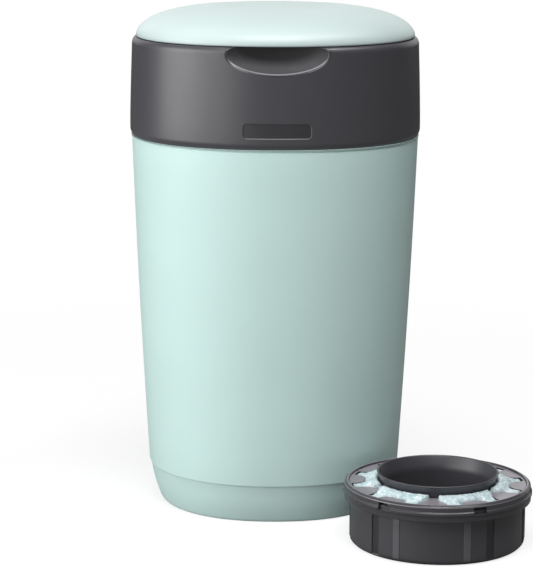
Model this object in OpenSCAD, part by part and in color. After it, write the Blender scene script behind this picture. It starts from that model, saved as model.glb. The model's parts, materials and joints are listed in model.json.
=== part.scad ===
// Nappy bin: a tapered bucket, a lift-off head with a hinged lid, a turning ring that
// carries a film cassette, sprung flaps below it, and one spare cassette beside the bin.
// The origin is the centre of the base on the floor. The front faces -Y.

/* [Plan outline] */
// Squareness of the plan: 2 is a circle, larger is squarer
plan_power = 2.2; // [2:0.05:2.6]
// Flat sides used to draw the rounded-square outline
plan_sides = 64; // [48:8:80]

/* [Bucket] */
// Height of the bucket, from the floor to its mouth
bucket_h = 321; // [240:1:380]
// Width across the base at the floor
foot_w = 200; // [190:1:208]
// Width where the plinth meets the wall above it
plinth_w = 219.2; // [214:0.2:230]
// Height of the plinth
plinth_h = 34; // [20:1:60]
// Width of the bucket just below its lip
mouth_w = 247; // [240:0.2:250]
// Outward bow of the wall at its mid-height, from straight
wall_bow = 1; // [0:0.1:1.6]
// Thickness of the bucket's wall
bucket_wall = 2.6; // [2:0.1:3.6]
// Thickness of the bucket's floor
bucket_floor = 3; // [2:0.1:6]
// How far the bucket's lip stands out from its wall
lip_out = 0.3; // [0.2:0.1:1]
// Height of the bucket's lip
lip_h = 1.5; // [1:0.1:5]
// Height of the narrow groove below the lip
lip_groove_h = 1.2; // [0.6:0.1:2]
// Depth of that groove
lip_groove_in = 1; // [0.5:0.1:1.4]

/* [Band of the head] */
// Width of the band at its widest
band_w = 249.5; // [248.5:0.5:256]
// Height of the band, from the bucket's mouth to the rim
band_h = 83; // [80:1:100]
// Inward taper of each side of the band up to its shoulder
band_taper = 1.9; // [0.5:0.1:4]
// Thickness of the band's wall
band_wall = 2.6; // [2:0.1:3.4]
// Height of the bevel along the band's lower edge
bevel_h = 4; // [2:0.5:10]
// Inward reach of the bevel along the band's lower edge
bevel_in = 1.9; // [0.5:0.1:2.2]
// Height of the rounded shoulder below the rim
shoulder_h = 5.5; // [5:0.5:12]
// Width of the rim that turns inwards at the top
rim_land = 4.5; // [3:0.1:6]
// Thickness of the rim
rim_t = 3; // [2:0.1:4]
// Inward reach of the ledge that sits on the bucket's mouth
ledge_in = 14.6; // [12:0.1:20]
// Thickness of that ledge
ledge_t = 3; // [2:0.1:5]
// Depth of the skirt that drops into the bucket
skirt_h = 14; // [8:1:24]
// Thickness of that skirt
skirt_t = 2; // [1.5:0.1:3]
// Clearance between the skirt and the bucket's wall
skirt_gap = 0.5; // [0.3:0.1:1]

/* [Finger scoop and plate recess] */
// Width of the scoop across the band's face
scoop_w = 84.4; // [60:0.2:92]
// Height of the scoop's lower half
scoop_h = 16.8; // [12:0.2:20]
// Depth of the scoop's middle below the rim
scoop_down = 5.3; // [2:0.1:8]
// Depth of the scoop behind the band's face
scoop_depth = 12.5; // [8:0.5:14]
// Distance of the scoop's centre in front of the band's face
scoop_out = 4; // [2:0.5:8]
// Length of the plate recess
plate_w = 55.5; // [30:0.5:80]
// Height of the plate recess
plate_h = 12; // [8:0.5:18]
// Corner radius of the plate recess
plate_r = 3; // [1:0.5:4]
// Depth of the plate recess
plate_depth = 0.8; // [0.4:0.1:1.2]
// Height of the recess's centre above the band's lower edge
plate_up = 15.5; // [14:0.5:30]

/* [Lid] */
// Width of the lid
lid_w = 238; // [236:0.5:241]
// Rise of the lid's crown above the rim
crown_h = 26.3; // [20:0.1:32]
// Height of the lid's upright edge
lid_edge_h = 1; // [0.6:0.1:3]
// Thickness of the lid's shell
lid_wall = 2.4; // [1.8:0.1:3]
// Gap between the lid's edge and the rim
lid_gap = 0.6; // [0.4:0.1:1.2]
// Height of the lid's inner tray above the rim
tray_up = 3; // [2.5:0.1:4]
// Thickness of the lid's inner tray
tray_t = 2; // [1.5:0.1:3]
// Distance of the seal's round holder outside the ring's housing
holder_out = 3.5; // [3:0.1:5]
// Thickness of that holder
holder_t = 2.5; // [1.5:0.1:3]

/* [Lid hinge] */
// Distance of the hinge pin inside the lid's rear edge
hinge_in = 4; // [3:0.1:5]
// Depth of the hinge pin below the rim
hinge_down = 1.5; // [1:0.1:2]
// Diameter of the hinge pin
hinge_pin_d = 3; // [2:0.1:3.5]
// Radius of the hinge's lugs and knuckles
knuckle_r = 3.8; // [3.4:0.1:4]
// Width of each fixed hinge lug
lug_w = 5; // [4:0.5:6]
// Length of each lid knuckle
knuckle_w = 13; // [8:0.5:13]
// Gap between a lug and a knuckle
knuckle_gap = 0.4; // [0.3:0.1:0.5]
// Width of the space between the two middle lugs
hinge_mid_w = 16; // [8:1:18]
// Clearance around the hinge in the lid's shell
hinge_gap = 0.4; // [0.3:0.1:0.6]
// Radius of the trough in the rim behind the hinge
trough_r = 8.4; // [8.3:0.1:8.8]
// Depth of the trough's outer edge below the hinge pin
trough_lip = 4.4; // [4.2:0.1:5]
// Length of the trough in the rim behind the hinge
trough_w = 87; // [84:1:96]

/* [Deck inside the head] */
// Depth of the deck's top below the rim
deck_down = 12; // [11.5:0.5:14]
// Thickness of the deck
deck_t = 3; // [2:0.1:4]
// Clearance between the deck's edge and the band
deck_gap = 0.4; // [0.3:0.1:0.8]
// Clearance between the turning ring and the round housing below the deck
housing_gap = 3; // [2:0.1:5]
// Thickness of that housing
housing_t = 2.5; // [2:0.1:3]
// Depth of the housing below the deck's top
housing_h = 62; // [60:0.5:64]
// Inward reach of the housing's foot ring
housing_foot_w = 10; // [8:0.5:12]
// Thickness of that foot ring
housing_foot_t = 4; // [3:0.5:5]
// Diameter of the deck's posts
post_d = 9; // [8:0.5:10]
// Diameter of all screws
screw_d = 4; // [3:0.5:4.5]
// Diameter of all screw heads
screw_head_d = 7.5; // [7:0.1:8]
// Thickness of all screw heads
screw_head_t = 2.6; // [2:0.1:3]
// Length of all screws below their heads
screw_l = 12; // [8:1:14]

/* [Turning ring] */
// Clearance between the ring and the deck's hole
ring_gap = 0.5; // [0.3:0.1:0.8]
// Thickness of the ring's wall
ring_wall = 3.2; // [2.5:0.1:3.5]
// Width of the ring's flange outside its wall
ring_flange_w = 7.5; // [6:0.1:9]
// Thickness of the ring's flange
ring_flange_t = 2.6; // [2:0.1:3]
// Number of finger grips on the ring
grip_count = 8; // [4:1:12]
// Height of the finger grips
grip_h = 5; // [3:0.5:5.5]
// Depth of the finger grips from inside to outside
grip_w = 5; // [3:0.5:7]
// Depth of the cassette's seat below the deck's top
seat_down = 13.1; // [12:0.1:16]
// Width of the ledge under the cassette's flange
seat_w = 4.4; // [3:0.1:5]
// Thickness of that ledge
seat_t = 2.5; // [2:0.1:4]
// Width of the notched retaining ring
retainer_w = 7.7; // [6:0.1:9]
// Thickness of the notched retaining ring
retainer_t = 2.5; // [2:0.1:4]
// Number of click notches
notch_count = 12; // [6:6:12]
// Depth of each click notch
notch_depth = 2.2; // [1.5:0.1:2.5]

/* [Click pawl] */
// Direction of the pawl's nose around the ring, a whole number of notches
pawl_at = -60; // [-60:60:0]
// Distance of the pawl's pin outside the housing's inner face
pawl_pin_off = 9; // [8:0.5:11]
// Length of the pawl's arm
pawl_arm = 18; // [16:0.5:20]
// Thickness of the pawl
pawl_t = 3.4; // [2.5:0.1:4]
// Diameter of the pawl's pin
pawl_pin_d = 3; // [2:0.5:3.5]

/* [Sprung flaps] */
// Thickness of the flap frame
frame_t = 6; // [6:0.5:8]
// Distance of each flap's pin from the bin's axis
flap_pin_out = 54; // [52:0.5:55]
// Width of each flap
flap_w = 59; // [50:0.5:59]
// Width of the square hole that the closed flaps leave
flap_hole_w = 28; // [20:1:34]
// Thickness of each flap
flap_t = 2.2; // [1.6:0.1:2.6]
// Radius of the flap's barrel
flap_barrel_r = 2.6; // [2.4:0.1:2.8]
// Diameter of the flap pins
flap_pin_d = 3; // [2.5:0.1:3.2]
// Length of the gap in the barrel that holds the spring
flap_spring_w = 16; // [12:1:20]
// Clearance around each flap
flap_gap = 0.6; // [0.5:0.1:0.8]

/* [Film cutter] */
// Length of the cutter's guard
guard_l = 24; // [18:1:26]
// Width of the cutter's guard
guard_w = 14; // [10:1:15]
// Height of the cutter's guard
guard_h = 10; // [8:0.5:12]
// Width of the cutter's slot
guard_slot = 3; // [2:0.5:4]
// Thickness of the blade
blade_t = 0.6; // [0.4:0.1:0.8]

/* [Film cassette] */
// Radius of the cassette's tub
tub_r = 72.2; // [70:0.1:73]
// Thickness of the tub's walls
tub_wall = 1.6; // [1.2:0.1:2]
// Height of the tub below the cover's skirt
tub_h = 37.5; // [30:0.5:44]
// Radius of the open core
core_r = 44; // [38:0.5:45]
// Height of the cover's skirt
cover_h = 14; // [12:0.5:18]
// How far the tub's rim stands out from its wall
tub_rim_out = 2.8; // [2:0.1:4]
// How far the cover's skirt stands out from the tub's wall
cover_out = 5.6; // [5.4:0.1:7]
// Width of the cover's rounded rim
cover_rim_w = 3.6; // [3:0.1:5]
// Depth of the windowed plate below the cover's rim
plate_down = 2; // [1:0.5:4]
// Height of the collar above the cover's rim
collar_up = 8; // [5:0.5:9]
// How far the collar's flared lip stands out from the open core
collar_out = 6.2; // [4:0.1:8]
// Depth of the collar's thicker part below the cover's rim
collar_down = 11; // [8:0.5:14]
// Height of the tub's upstand around the core
upstand_h = 5; // [3:0.5:10]
// Number of film windows in the cover
window_count = 6; // [4:1:8]
// Length of the tab that reaches into each film window
window_tab_l = 11.3; // [6:0.1:13]

/* [Spare cassette] */
// Place of the spare cassette to the right of the bin's centre
spare_x = 133; // [130:0.1:180]
// Place of the spare cassette in front of the bin's centre
spare_y = 149.1; // [140:0.1:200]
// Turn of the spare cassette about its own axis
spare_turn = -98.3; // [-180:0.1:180]

/* [Hidden] */

$fn = 96;
eps = 0.01;
bore_gap = 0.05;

rim_z = bucket_h + band_h;
deck_z = rim_z - deck_down;
deck_under = deck_z - deck_t;
hinge_z = rim_z - hinge_down;

// Band section
band_half = band_w / 2;
shoulder_half = band_half - band_taper;
rim_half = lid_w / 2;
rim_inner_half = rim_half - rim_land;
hinge_back = rim_half - hinge_in;
shoulder_z = rim_z - shoulder_h;
bucket_inner_half = mouth_w / 2 - bucket_wall;
ledge_half = bucket_inner_half - ledge_in;
skirt_half = bucket_inner_half - skirt_gap;
inner_foot_half = plinth_w / 2 - bucket_wall;
inner_slope = (bucket_inner_half - inner_foot_half) / (bucket_h - plinth_h - 2);

// Places of the posts and of the hinge's lugs and knuckles
post_angles = [45, 135, 225, 315];
post_out = plan_reach(45) * (ledge_half + skirt_half - skirt_t) / 2;
knuckle_start = hinge_mid_w / 2 + lug_w + knuckle_gap;
lug_starts = [hinge_mid_w / 2, knuckle_start + knuckle_w + knuckle_gap];
hinge_reach = lug_starts[1] + lug_w;

// Cassette levels, from the cassette's own base
flange_z = tub_h;
cover_top = tub_h + cover_h;
collar_top = cover_top + collar_up;
core_wall = tub_wall;
cover_r = tub_r + cover_out;
tub_rim_r = tub_r + tub_rim_out;
cover_inner_r = tub_rim_r + 0.1;
collar_r = core_r + collar_out;
tub_inner_r = core_r + core_wall + bore_gap;
window_plate_z = cover_top - plate_down - tub_wall;

// Turning ring
ring_inner_r = cover_r + ring_gap;
ring_outer_r = ring_inner_r + ring_wall;
deck_hole_r = ring_outer_r + ring_gap;
ring_flange_r = ring_outer_r + ring_flange_w;
seat_z = deck_z - seat_down;
cassette_z = seat_z - flange_z;
groove_depth = 1.2;
retainer_r = ring_outer_r - groove_depth + retainer_w;
retainer_top = deck_under - 0.3;
housing_r = ring_flange_r + housing_gap;
housing_foot_r = housing_r - housing_foot_w;
holder_r = housing_r + holder_out;
pawl_pin_out = housing_r + pawl_pin_off;
notch_step = 360 / notch_count;

// Flap frame
housing_foot_z = deck_z - housing_h;
frame_top = housing_foot_z;
frame_z = frame_top - frame_t;
flap_z = frame_z + frame_t / 2;
frame_r = housing_r + housing_t;
frame_screw_out = housing_r - 4;
notch_half = flap_w / 2 + flap_gap;
flap_sides = [["front", -90], ["right", 0], ["back", 90], ["left", 180]];

// Springs
wire_r = 0.4;
coil_steps = 8;
coil_sides = 6;

mint = [0.74, 0.87, 0.84];
lid_mint = [0.83, 0.93, 0.91];
charcoal = [0.29, 0.285, 0.30];
deck_grey = [0.36, 0.36, 0.38];
cassette_grey = [0.22, 0.22, 0.23];
cover_grey = [0.50, 0.49, 0.51];
film_mint = [0.86, 0.95, 0.94];
rubber = [0.16, 0.16, 0.17];
steel = [0.75, 0.76, 0.78];

// ---- Rounded-square outline and what is lofted from it ----

// Distance of the outline from its centre in direction a, for a half width of 1
function plan_reach(a) =
    pow(pow(abs(cos(a)), plan_power) + pow(abs(sin(a)), plan_power), -1 / plan_power);

// Distance of the outline in front of its centre at a given x, for a half width of 1
function plan_depth(x) = pow(1 - pow(x, plan_power), 1 / plan_power);

function plan_ring(half, z) =
    [for (i = [0 : plan_sides - 1])
        let (a = 360 * i / plan_sides, r = half * plan_reach(a))
        [r * cos(a), r * sin(a), z]];

function ring_quads(low, high) =
    [for (i = [0 : plan_sides - 1])
        let (next = (i + 1) % plan_sides)
        [low * plan_sides + i, high * plan_sides + i,
            high * plan_sides + next, low * plan_sides + next]];

// A hollow ring: the section is a closed loop of [half width, height] points
module plan_loop(section) {
    last = len(section) - 1;
    polyhedron(
        points = [for (p = section) each plan_ring(p[0], p[1])],
        faces = [for (j = [0 : last]) each ring_quads(j, j == last ? 0 : j + 1)],
        convexity = 10);
}

// A cup or a cap: the section runs from a flat underside to a flat upper side
module plan_body(section) {
    last = len(section) - 1;
    polyhedron(
        points = [for (p = section) each plan_ring(p[0], p[1])],
        faces = concat(
            [[for (i = [0 : plan_sides - 1]) i]],
            [for (j = [0 : last - 1]) each ring_quads(j, j + 1)],
            [[for (i = [plan_sides - 1 : -1 : 0]) last * plan_sides + i]]),
        convexity = 10);
}

// ---- Small shared shapes ----

module tube(outer_r, inner_r, low, high) {
    difference() {
        translate([0, 0, low]) cylinder(r = outer_r, h = high - low);
        translate([0, 0, low - 1]) cylinder(r = inner_r, h = high - low + 2);
    }
}

module turned(section) {
    rotate_extrude() polygon(section);
}

// Part of a ring between two radii, two angles and two heights
module ring_sector(inner_r, outer_r, from_a, to_a, low, high) {
    reach = 1.5 * outer_r;
    intersection() {
        tube(outer_r, inner_r, low, high);
        translate([0, 0, low]) linear_extrude(high - low)
            polygon([[0, 0], [reach * cos(from_a), reach * sin(from_a)],
                [reach * cos(to_a), reach * sin(to_a)]]);
    }
}

module rounded_bar(w, h, r) {
    square([w - 2 * r, h], center = true);
    square([w, h - 2 * r], center = true);
    for (x = [-1, 1], y = [-1, 1]) translate([x * (w / 2 - r), y * (h / 2 - r)]) circle(r);
}

// Screw driven upwards, with its head's underside at the origin
module screw() {
    cylinder(d = screw_d, h = screw_l, $fn = 24);
    difference() {
        translate([0, 0, -screw_head_t]) cylinder(d = screw_head_d, h = screw_head_t, $fn = 32);
        for (a = [0, 90]) rotate(a)
            translate([0, 0, -screw_head_t]) cube([4.4, 0.9, 2.4], center = true);
    }
}

// Round wire wound about Z, with a tangent leg at its start
module coil(mean_r, turns, pitch, leg) {
    steps = turns * coil_steps;
    centres = concat(
        [[mean_r, -leg, 0, 0]],
        [for (s = [0 : steps])
            let (a = 360 * s / coil_steps) [mean_r * cos(a), mean_r * sin(a), pitch * s / coil_steps, a]]);
    points = [for (c = centres, k = [0 : coil_sides - 1])
        let (b = 360 * k / coil_sides, out = wire_r * cos(b))
        [c[0] + out * cos(c[3]), c[1] + out * sin(c[3]), c[2] + wire_r * sin(b)]];
    last = len(centres) - 1;
    polyhedron(points = points, faces = concat(
        [[for (k = [coil_sides - 1 : -1 : 0]) k]],
        [for (s = [0 : last - 1], k = [0 : coil_sides - 1])
            let (up = (k + 1) % coil_sides)
            [s * coil_sides + k, s * coil_sides + up,
                (s + 1) * coil_sides + up, (s + 1) * coil_sides + k]],
        [[for (k = [0 : coil_sides - 1]) last * coil_sides + k]]), convexity = 6);
}

// ---- Bucket ----

// Points of a bowed wall between two [half width, height] ends, without the ends
function bowed_wall(from, to, parts) =
    [for (i = [1 : parts - 1])
        let (t = i / parts)
        [from[0] + t * (to[0] - from[0]) + wall_bow * sin(180 * t), from[1] + t * (to[1] - from[1])]];

module bucket() {
    toe = 1.6;
    wall_top = bucket_h - lip_h - lip_groove_h;
    inner_foot = foot_w / 2 - bucket_wall + 0.4;
    groove_half = mouth_w / 2 - lip_groove_in;
    outer_foot = [plinth_w / 2, plinth_h];
    outer_top = [mouth_w / 2 - 0.3, wall_top];
    inner_top = [bucket_inner_half, bucket_h];
    inner_low = [inner_foot_half, plinth_h + 2];
    color(mint) plan_body(concat(
        [[foot_w / 2 - toe, 0],
            [foot_w / 2, toe],
            [foot_w / 2 + (plinth_w - foot_w) / 4, plinth_h * 0.42],
            [plinth_w / 2 - 0.8, plinth_h - 0.6],
            outer_foot],
        bowed_wall(outer_foot, outer_top, 4),
        [outer_top,
            [groove_half, wall_top + 0.3],
            [groove_half, bucket_h - lip_h],
            [mouth_w / 2 + lip_out, bucket_h - lip_h + 0.4],
            [mouth_w / 2 + lip_out, bucket_h],
            inner_top],
        bowed_wall(inner_top, inner_low, 4),
        [inner_low,
            [inner_foot + (plinth_w - foot_w) / 4, plinth_h * 0.42 + bucket_floor / 2],
            [inner_foot, bucket_floor + 3],
            [inner_foot - 3.5, bucket_floor]]));
}

// ---- Head: the dark band ----

// Half sizes of the egg-shaped cut that makes the scoop
scoop_y = scoop_depth + scoop_out;
scoop_end_y = plan_depth(scoop_w / 2 / shoulder_half) * shoulder_half;
scoop_x = scoop_w / 2 / sqrt(1 - pow((shoulder_half + scoop_out - scoop_end_y) / scoop_y, 2));
scoop_z = scoop_h / sqrt(1 - pow(scoop_out / scoop_y, 2));

module scoop_ball(grow) {
    translate([0, -(shoulder_half + scoop_out), rim_z - scoop_down])
        scale([scoop_x + grow, scoop_y + grow, scoop_z + grow]) sphere(r = 1, $fn = 64);
}

module band_section() {
    shoulder_in = shoulder_half - rim_half;
    web_top = bucket_h + ledge_t;
    plan_loop(concat(
        [[band_half - bevel_in, bucket_h],
            [band_half, bucket_h + bevel_h],
            [band_half, bucket_h + bevel_h + 12],
            [band_half - band_taper * 0.4, bucket_h + band_h * 0.55],
            [shoulder_half, shoulder_z]],
        [for (a = [22.5 : 22.5 : 90])
            [rim_half + shoulder_in * cos(a), shoulder_z + shoulder_h * sin(a)]],
        [[rim_inner_half, rim_z],
            [rim_inner_half, rim_z - rim_t],
            [shoulder_half - band_wall - 1, rim_z - rim_t - 1.5],
            [shoulder_half - band_wall, shoulder_z - 1],
            [band_half - band_wall, bucket_h + bevel_h + 12],
            [band_half - band_wall, web_top],
            [ledge_half, web_top],
            [ledge_half, bucket_h],
            [skirt_half - skirt_t, bucket_h],
            [skirt_half - skirt_t, bucket_h - skirt_h],
            [skirt_half - inner_slope * skirt_h - 0.8, bucket_h - skirt_h],
            [skirt_half - inner_slope * (skirt_h - 2), bucket_h - skirt_h + 2],
            [skirt_half, bucket_h]]));
}

module head_band() {
    color(charcoal) difference() {
        union() {
            band_section();
            intersection() {
                scoop_ball(band_wall);
                translate([-scoop_w, -shoulder_half, rim_z - scoop_down - scoop_z - 2 * band_wall])
                    cube([2 * scoop_w, scoop_y + 2 * band_wall, scoop_down + scoop_z + 2 * band_wall]);
                plan_body([[shoulder_half - 1, bucket_h], [shoulder_half - 1, shoulder_z],
                    [rim_half, rim_z - 2], [rim_half, rim_z]]);
            }
        }
        scoop_ball(0);
        // Recess for a plate, following the face
        intersection() {
            translate([0, -band_half + 8, bucket_h + plate_up]) rotate([90, 0, 0])
                linear_extrude(12) rounded_bar(plate_w, plate_h, plate_r);
            plan_loop([[band_half - plate_depth, bucket_h + 2], [band_half + 3, bucket_h + 2],
                [band_half + 3, bucket_h + 2 * plate_up],
                [band_half - plate_depth - 0.4, bucket_h + 2 * plate_up]]);
        }
        // Trough that the lid's rear edge turns into
        translate([-trough_w / 2, hinge_back, hinge_z]) rotate([0, 90, 0])
            cylinder(r = trough_r, h = trough_w);
        translate([-trough_w / 2, hinge_back, hinge_z - trough_lip])
            cube([trough_w, 3 * trough_r, 2 * trough_r]);
        for (a = post_angles) rotate(a)
            translate([post_out, 0, bucket_h - 1]) cylinder(d = screw_d + 0.4, h = ledge_t + 2, $fn = 32);
    }
}

// ---- Head: the deck and its hinge ----

module hinge_lug() {
    rotate([90, 0, 90]) linear_extrude(lug_w) difference() {
        union() {
            translate([hinge_back, hinge_z]) circle(knuckle_r);
            translate([hinge_back - knuckle_r, deck_z - 1]) square([knuckle_r - 0.8, hinge_z - deck_z + 1]);
        }
        translate([hinge_back, hinge_z]) circle(hinge_pin_d / 2 + eps, $fn = 32);
    }
}

module head_deck() {
    deck_half = shoulder_half - band_wall - deck_gap;
    color(deck_grey) difference() {
        union() {
            plan_body([[deck_half, deck_under], [deck_half, deck_z]]);
            tube(housing_r + housing_t, housing_r, housing_foot_z, deck_under + eps);
            tube(housing_r + 1, housing_foot_r, housing_foot_z, housing_foot_z + housing_foot_t);
            for (a = post_angles) rotate(a) {
                translate([post_out, 0, bucket_h + ledge_t])
                    cylinder(d = post_d, h = deck_under - bucket_h - ledge_t + 1, $fn = 32);
                translate([frame_screw_out, 0, housing_foot_z]) cylinder(d = 8, h = screw_l - 2, $fn = 32);
            }
            for (side = [0, 1], x = lug_starts) mirror([side, 0, 0]) translate([x, 0, 0]) hinge_lug();
            rotate(pawl_at) translate([pawl_pin_out, -pawl_arm, deck_under - 1])
                cylinder(d = 8, h = 1.5, $fn = 32);
        }
        translate([0, 0, deck_under - 2]) cylinder(r = deck_hole_r, h = deck_t + 4);
        for (a = post_angles) rotate(a) {
            translate([post_out, 0, bucket_h])
                cylinder(d = screw_d + 2 * bore_gap, h = screw_l + 1, $fn = 32);
            translate([frame_screw_out, 0, housing_foot_z - 1])
                cylinder(d = screw_d + 2 * bore_gap, h = screw_l, $fn = 32);
        }
        scoop_ball(band_wall + deck_gap);
        // Window in the housing for the pawl's nose, and the pawl pin's hole
        rotate(pawl_at) {
            translate([housing_r - 4, -7, deck_under - pawl_t - 2]) cube([10, 16, pawl_t + 2]);
            translate([pawl_pin_out, -pawl_arm, deck_under - 3])
                cylinder(d = pawl_pin_d + 2 * eps, h = deck_t + 2, $fn = 32);
        }
    }
}

module deck_screws() {
    color(steel) for (a = post_angles) rotate(a) translate([post_out, 0, bucket_h]) screw();
}

module hinge_pin() {
    color(steel) translate([-hinge_reach - 0.5, hinge_back, hinge_z]) rotate([0, 90, 0])
        cylinder(d = hinge_pin_d, h = 2 * hinge_reach + 1, $fn = 32);
}

// ---- Lid ----

// Outer half width and height of the lid above its edge, t from 0 at the edge to 1 near the crown
function lid_out(t) = (rim_half + 0.3) * pow(cos(90 * t), 0.55);
function lid_up(t) = lid_gap + lid_edge_h + (crown_h - lid_gap - lid_edge_h) * pow(sin(90 * t), 1.06);
lid_steps = [0, 0.1, 0.22, 0.36, 0.5, 0.66, 0.82, 0.94];
tray_z = rim_z + tray_up;
holder_low = deck_z + 1.8;

module lid_shell() {
    edge_half = rim_half - lid_wall;
    color(lid_mint) difference() {
        plan_body(concat(
            [for (i = [len(lid_steps) - 1 : -1 : 1]) let (t = lid_steps[i])
                [lid_out(t) - lid_wall * cos(70 * t), rim_z + lid_up(t) - lid_wall]],
            [[edge_half, rim_z + lid_gap + lid_edge_h],
                [edge_half, rim_z + lid_gap],
                [rim_half, rim_z + lid_gap]],
            [for (t = lid_steps) [lid_out(t), rim_z + lid_up(t)]]));
        // Room for the hinge's lugs and knuckles under the rear edge
        translate([-hinge_reach - 1, hinge_back, hinge_z]) rotate([0, 90, 0])
            cylinder(r = knuckle_r + hinge_gap, h = 2 * hinge_reach + 2);
    }
}

module lid_tray() {
    tray_half = rim_half - lid_wall - 1.6;
    color(charcoal) difference() {
        union() {
            plan_body([[tray_half, tray_z], [tray_half - 2.6, tray_z + tray_t]]);
            for (side = [0, 1]) mirror([side, 0, 0]) translate([knuckle_start, 0, 0])
                rotate([90, 0, 90]) linear_extrude(knuckle_w) {
                    translate([hinge_back, hinge_z]) circle(knuckle_r);
                    polygon([[hinge_back - 12, tray_z + 0.5], [hinge_back - 12, tray_z + tray_t],
                        [hinge_back - 5, tray_z + tray_t], [hinge_back + 0.3, hinge_z + 3.2],
                        [hinge_back - 2, hinge_z], [hinge_back - 6, tray_z + 0.5]]);
                }
        }
        for (side = [0, 1]) mirror([side, 0, 0])
            translate([knuckle_start - 1, hinge_back, hinge_z]) rotate([0, 90, 0])
                cylinder(d = hinge_pin_d + 2 * bore_gap, h = knuckle_w + 2, $fn = 32);
    }
}

module seal_holder() {
    inner = holder_r - holder_t;
    color(charcoal) turned([[inner, holder_low], [holder_r, holder_low], [holder_r, tray_z - 1.6],
        [holder_r + 4, tray_z - 1.6], [holder_r + 4, tray_z], [inner, tray_z]]);
}

module lid_seal() {
    low = deck_z + 0.3;
    inner = holder_r - holder_t;
    color(rubber) turned([[inner - 0.8, low], [holder_r + 0.8, low],
        [holder_r + 0.8, holder_low + 1.6], [holder_r, holder_low + 1.6], [holder_r, holder_low],
        [inner, holder_low], [inner, holder_low + 1.6], [inner - 0.8, holder_low + 1.6]]);
}

// ---- Turning ring and its click ----

module twist_ring() {
    color(mint) {
        turned([[ring_inner_r - seat_w, seat_z - seat_t], [ring_outer_r, seat_z - seat_t],
            [ring_outer_r, retainer_top - retainer_t],
            [ring_outer_r - groove_depth, retainer_top - retainer_t],
            [ring_outer_r - groove_depth, retainer_top], [ring_outer_r, retainer_top],
            [ring_outer_r, deck_z], [ring_flange_r, deck_z],
            [ring_flange_r, deck_z + ring_flange_t - 0.8],
            [ring_flange_r - 0.8, deck_z + ring_flange_t],
            [ring_inner_r, deck_z + ring_flange_t], [ring_inner_r, seat_z],
            [ring_inner_r - seat_w, seat_z]]);
        for (i = [0 : grip_count - 1]) rotate(360 * (i + 0.5) / grip_count)
            ring_sector(ring_inner_r + 1, ring_inner_r + 1 + grip_w, -7, 7, deck_z + 1,
                deck_z + ring_flange_t + grip_h);
    }
}

module ring_retainer() {
    notch_half = 2.4;
    color(charcoal) difference() {
        tube(retainer_r, ring_outer_r - groove_depth, retainer_top - retainer_t, retainer_top);
        for (i = [0 : notch_count - 1]) rotate(i * notch_step)
            translate([0, 0, retainer_top - retainer_t - 1]) linear_extrude(retainer_t + 2)
                polygon([[retainer_r - notch_depth, -0.5], [retainer_r + 1, -notch_half - 0.9],
                    [retainer_r + 1, notch_half + 0.9], [retainer_r - notch_depth, 0.5]]);
    }
}

module click_pawl() {
    nose = retainer_r - notch_depth + 0.5;
    hub_r = 3.6;
    top = deck_under - 1.3;
    color(charcoal) rotate(pawl_at) translate([0, 0, top - pawl_t]) difference() {
        union() {
            translate([pawl_pin_out, -pawl_arm, 0]) cylinder(r = hub_r, h = pawl_t, $fn = 32);
            linear_extrude(pawl_t) polygon([[pawl_pin_out - 2.6, -pawl_arm + 2.2], [pawl_pin_out - 3.5, -5],
                [retainer_r + 0.6, -2.6], [nose, -0.3], [nose, 0.3], [retainer_r + 0.6, 2.6],
                [pawl_pin_out - 0.5, 3], [pawl_pin_out + 2.6, -pawl_arm + 2.2]]);
        }
        translate([pawl_pin_out, -pawl_arm, -1])
            cylinder(d = pawl_pin_d + 2 * bore_gap, h = pawl_t + 2, $fn = 32);
    }
}

module pawl_pin() {
    pawl_low = deck_under - 1.3 - pawl_t;
    color(steel) rotate(pawl_at) translate([pawl_pin_out, -pawl_arm, 0]) {
        translate([0, 0, pawl_low - 4.6])
            cylinder(d = pawl_pin_d, h = deck_under + 1.5 - pawl_low + 4.6, $fn = 32);
        translate([0, 0, pawl_low - 5.8]) cylinder(d = 7, h = 1.2, $fn = 32);
    }
}

module pawl_spring() {
    pawl_low = deck_under - 1.3 - pawl_t;
    color(steel) rotate(pawl_at) translate([pawl_pin_out, -pawl_arm, pawl_low - 4.1])
        rotate(180) coil(pawl_pin_d / 2 + wire_r + 0.3, 3, 1.1, 6);
}

// ---- Sprung flaps below the cassette ----

module flap_frame() {
    color(deck_grey) difference() {
        union() {
            difference() {
                translate([0, 0, frame_z]) cylinder(r = frame_r, h = frame_t);
                for (a = [0, 90]) rotate(a) translate([0, 0, flap_z])
                    cube([2 * (flap_pin_out + flap_barrel_r + flap_gap), 2 * notch_half, 2 * frame_t],
                        center = true);
            }
            // Stops that each flap closes against
            for (side = flap_sides, y = [-1, 1]) rotate(side[1])
                translate([flap_pin_out - 16, y * (notch_half - 1) - 1.6, flap_z + flap_t / 2 + 0.1])
                    cube([4, 3.2, frame_top - flap_z - flap_t / 2 - 0.1]);
        }
        for (side = flap_sides) rotate(side[1])
            translate([flap_pin_out, notch_half + 6, flap_z]) rotate([90, 0, 0])
                cylinder(d = flap_pin_d + 2 * eps, h = 2 * notch_half + 12, $fn = 32);
        for (a = post_angles) rotate(a)
            translate([frame_screw_out, 0, frame_z - 1])
                cylinder(d = screw_d + 0.4, h = frame_t + 2, $fn = 32);
    }
}

module frame_screws() {
    color(steel) for (a = post_angles) rotate(a) translate([frame_screw_out, 0, frame_z]) screw();
}

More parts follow.
